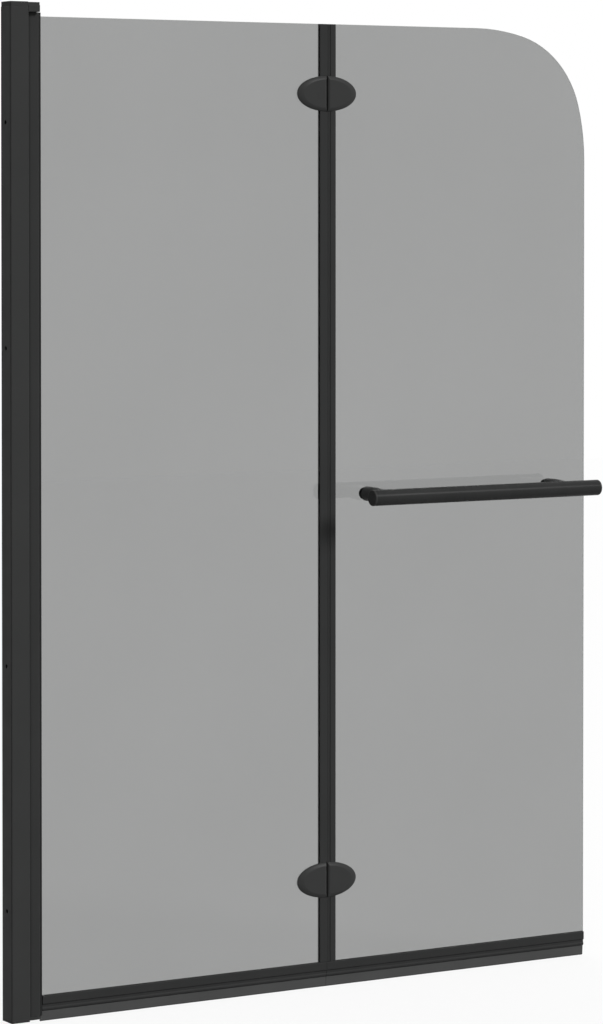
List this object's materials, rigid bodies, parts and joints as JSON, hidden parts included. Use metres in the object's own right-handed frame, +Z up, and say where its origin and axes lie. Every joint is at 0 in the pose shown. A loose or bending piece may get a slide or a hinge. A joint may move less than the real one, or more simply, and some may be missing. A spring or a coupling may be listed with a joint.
{
  "type": "folding bath screen",
  "caption": "Folding bath screen: smoked glass panes on a pivoting wall channel, joined by oval hinges, with a towel rail, a rounded free corner and wiper seals.",
  "frame": {"origin": "middle of the wall face of the wall channel, at half the screen's height", "axes": "+X from the wall along the closed screen, +Y from the towel rail side to the folding side, +Z up"},
  "size_m": [0.964, 0.1064, 1.4042],
  "materials": {
    "black_extrusion": "matt black powder coat on extruded aluminium",
    "inner_extrusion": "matt black powder coat on extruded aluminium",
    "black_cap": "moulded black nylon, fine spark texture",
    "bare_steel": "turned stainless steel",
    "black_screw": "blackened steel",
    "nylon": "dark nylon, smooth",
    "smoked_glass": "polished smoked toughened glass",
    "black_gasket": "soft black rubber",
    "black_seal": "extruded black PVC, satin",
    "soft_seal": "soft black extruded rubber",
    "wiper_rubber": "soft dark grey extruded rubber",
    "hinge_metal": "matt black powder coat on cast metal",
    "rail_metal": "satin black powder coat on steel tube"
  },
  "bodies": {
    "wall_frame": {"wall_channel": "black_extrusion", "adjuster_profile": "inner_extrusion", "lock_screws": "black_screw", "top_pivot_cap": "black_cap", "bottom_pivot_cap": "black_cap", "top_pivot_pin": "bare_steel", "bottom_pivot_pin": "bare_steel"},
    "inner_panel": {"stile": "black_extrusion", "glazing_gasket": "black_gasket", "top_pivot_bush": "nylon", "bottom_pivot_bush": "nylon", "inner_glass": "smoked_glass", "fold_clip": "black_seal", "fold_bulb": "soft_seal", "inner_seal_clip": "black_seal", "inner_seal_wiper": "wiper_rubber", "upper_hinge_inner_cover": "hinge_metal", "upper_hinge_inner_pads": "black_gasket", "upper_hinge_inner_leaf": "hinge_metal", "lower_hinge_inner_cover": "hinge_metal", "lower_hinge_inner_pads": "black_gasket", "lower_hinge_inner_leaf": "hinge_metal", "upper_hinge_pin": "bare_steel", "lower_hinge_pin": "bare_steel", "hinge_inner_screws": "black_screw"},
    "folding_panel": {"outer_glass": "smoked_glass", "stop_clip": "black_seal", "outer_seal_clip": "black_seal", "outer_seal_wiper": "wiper_rubber", "upper_hinge_outer_cover": "hinge_metal", "upper_hinge_outer_pads": "black_gasket", "upper_hinge_outer_leaf": "hinge_metal", "lower_hinge_outer_cover": "hinge_metal", "lower_hinge_outer_pads": "black_gasket", "lower_hinge_outer_leaf": "hinge_metal", "upper_hinge_bush": "nylon", "lower_hinge_bush": "nylon", "hinge_outer_screws": "black_screw", "towel_bar": "rail_metal", "inner_bar_cap": "rail_metal", "outer_bar_cap": "rail_metal", "inner_rail_post": "rail_metal", "outer_rail_post": "rail_metal", "inner_rail_nut": "rail_metal", "outer_rail_nut": "rail_metal", "rail_front_grommets": "black_gasket", "rail_back_grommets": "black_gasket", "rail_studs": "bare_steel"}
  },
  "joints": [
    {"name": "wall_pivot", "type": "hinge", "parent": "wall_frame", "child": "inner_panel", "pos_m": [0.0355, 0, 0], "axis": [0, 0, 1], "range_deg": [-90, 90]},
    {"name": "fold_hinge", "type": "hinge", "parent": "inner_panel", "child": "folding_panel", "pos_m": [0.5122, 0.011, 0], "axis": [0, 0, 1], "range_deg": [0, 180]}
  ]
}
